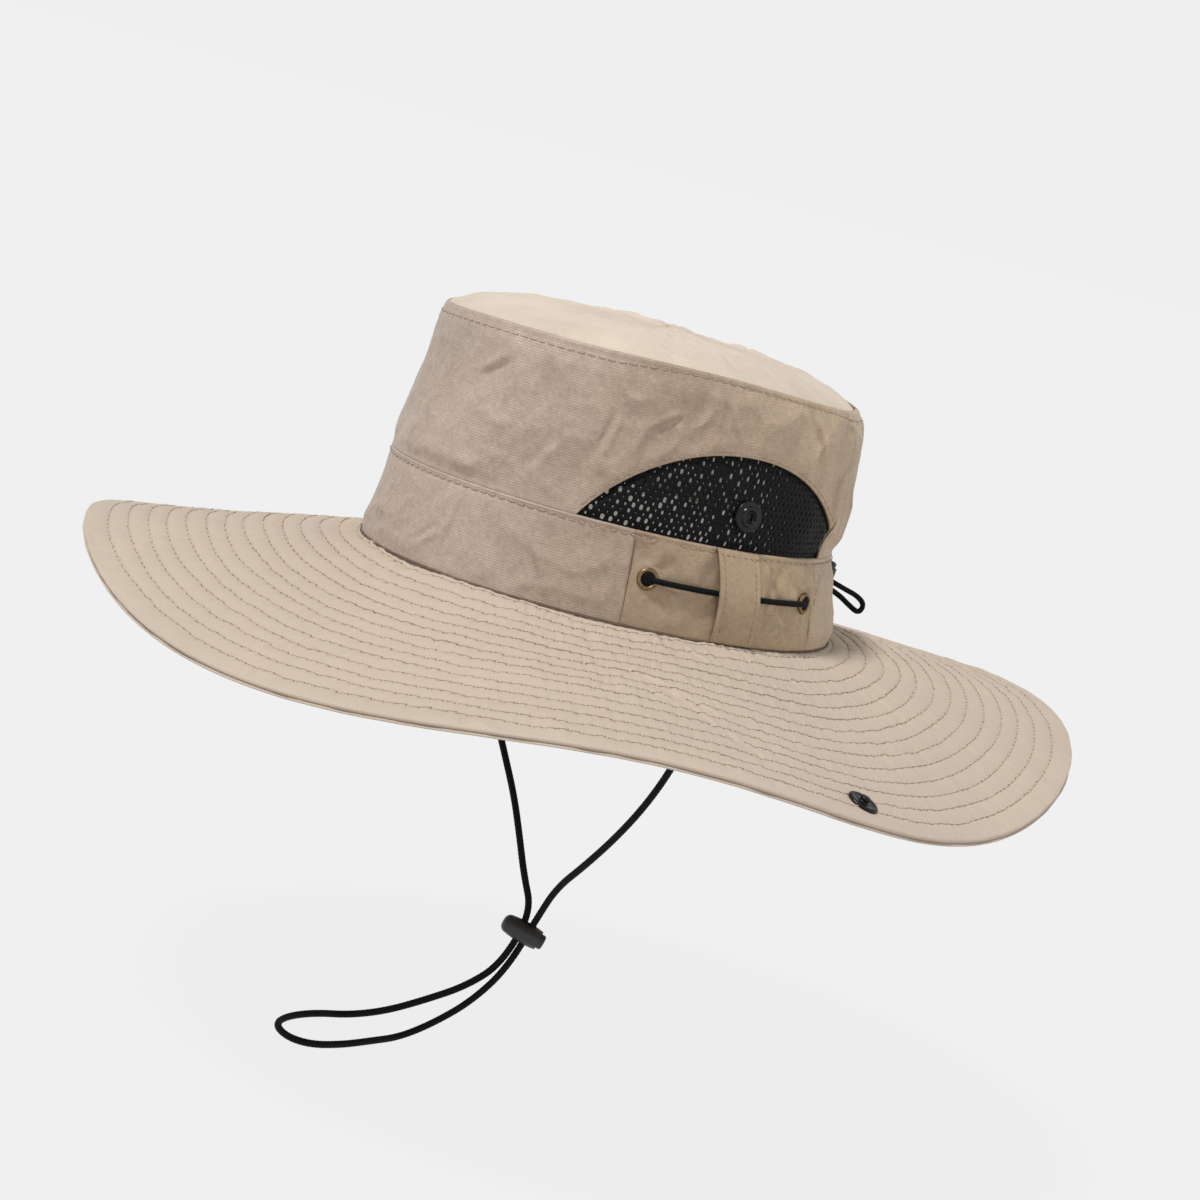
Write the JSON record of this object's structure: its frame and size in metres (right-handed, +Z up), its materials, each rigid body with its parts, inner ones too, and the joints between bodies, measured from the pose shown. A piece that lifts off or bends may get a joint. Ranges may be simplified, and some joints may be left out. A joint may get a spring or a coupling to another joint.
{
  "type": "boonie hat",
  "caption": "Wide-brimmed cloth sun hat with mesh side vents, snap-up brim sides, a drawcord and a chin cord with sliding locks.",
  "frame": {"origin": "centre of the head opening, in the plane of the seam between crown and brim", "axes": "+Z up the crown, front of the hat towards -Y, wearer's left towards +X"},
  "size_m": [0.3972, 0.4232, 0.306],
  "materials": {
    "crown_cloth": "light sand nylon with a fine crosswise rib",
    "brim_cloth": "light sand nylon, quilted in rings",
    "interlining": "stiff felted interlining",
    "lining": "soft cotton twill",
    "mesh": "black knitted spacer mesh",
    "cord": "black braided elastic cord",
    "eyelet": "aged brass",
    "snap": "satin black lacquer",
    "lock_plastic": "fine matte black",
    "spring_steel": "bright wire"
  },
  "bodies": {
    "hat": {"crown_top": "crown_cloth", "crown_side": "crown_cloth", "mesh_left": "mesh", "mesh_right": "mesh", "band_front": "crown_cloth", "band_rear": "crown_cloth", "side_panel_left": "crown_cloth", "side_panel_right": "crown_cloth", "keeper_left": "crown_cloth", "keeper_right": "crown_cloth", "sweatband": "lining", "eyelets_left": "eyelet", "eyelets_right": "eyelet", "eyelets_rear": "eyelet", "crown_snap_left": "snap", "crown_snap_right": "snap", "crown_snap_cap_left": "snap", "crown_snap_cap_right": "snap", "brim_upper": "brim_cloth", "brim_filler": "interlining", "brim_lower": "brim_cloth", "drawcord_left": "cord", "drawcord_right": "cord", "drawcord_loop": "cord", "chin_cord": "cord", "chin_tab_left": "crown_cloth", "chin_tab_right": "crown_cloth"},
    "left_flap": {"left_flap_upper": "brim_cloth", "left_flap_filler": "interlining", "left_flap_lower": "brim_cloth", "brim_snap_left": "snap", "brim_snap_cap_left": "snap"},
    "right_flap": {"right_flap_upper": "brim_cloth", "right_flap_filler": "interlining", "right_flap_lower": "brim_cloth", "brim_snap_right": "snap", "brim_snap_cap_right": "snap"},
    "chin_lock": {"chin_lock_body": "lock_plastic", "chin_lock_spring": "spring_steel"},
    "chin_button": {"chin_lock_button": "lock_plastic"},
    "back_lock": {"back_lock_body": "lock_plastic", "back_lock_spring": "spring_steel"},
    "back_button": {"back_lock_button": "lock_plastic"}
  },
  "joints": [
    {"name": "left_flap_fold", "type": "hinge", "parent": "hat", "child": "left_flap", "pos_m": [0.1205, 0, -0.0073], "axis": [0, -0.9992, -0.04], "range_deg": [0, 130]},
    {"name": "right_flap_fold", "type": "hinge", "parent": "hat", "child": "right_flap", "pos_m": [-0.1205, 0, -0.007], "axis": [0, 0.9998, 0.02], "range_deg": [0, 122]},
    {"name": "chin_lock_slide", "type": "slide", "parent": "hat", "child": "chin_lock", "axis": [-0.1599, -0.2099, -0.9646], "range_m": [0, 0.008]},
    {"name": "chin_lock_button", "type": "slide", "parent": "chin_lock", "child": "chin_button", "axis": [-0.5784, -0.7719, 0.2639], "range_m": [0, 0.0018], "stiffness_N_per_m": 500, "springref_m": -0.003, "deforming": ["chin_lock_spring"]},
    {"name": "back_lock_slide", "type": "slide", "parent": "hat", "child": "back_lock", "axis": [0, 0.96, -0.28], "range_m": [0, 0.006]},
    {"name": "back_lock_button", "type": "slide", "parent": "back_lock", "child": "back_button", "axis": [0, -0.28, -0.96], "range_m": [0, 0.0018], "stiffness_N_per_m": 500, "springref_m": -0.003, "deforming": ["back_lock_spring"]}
  ]
}
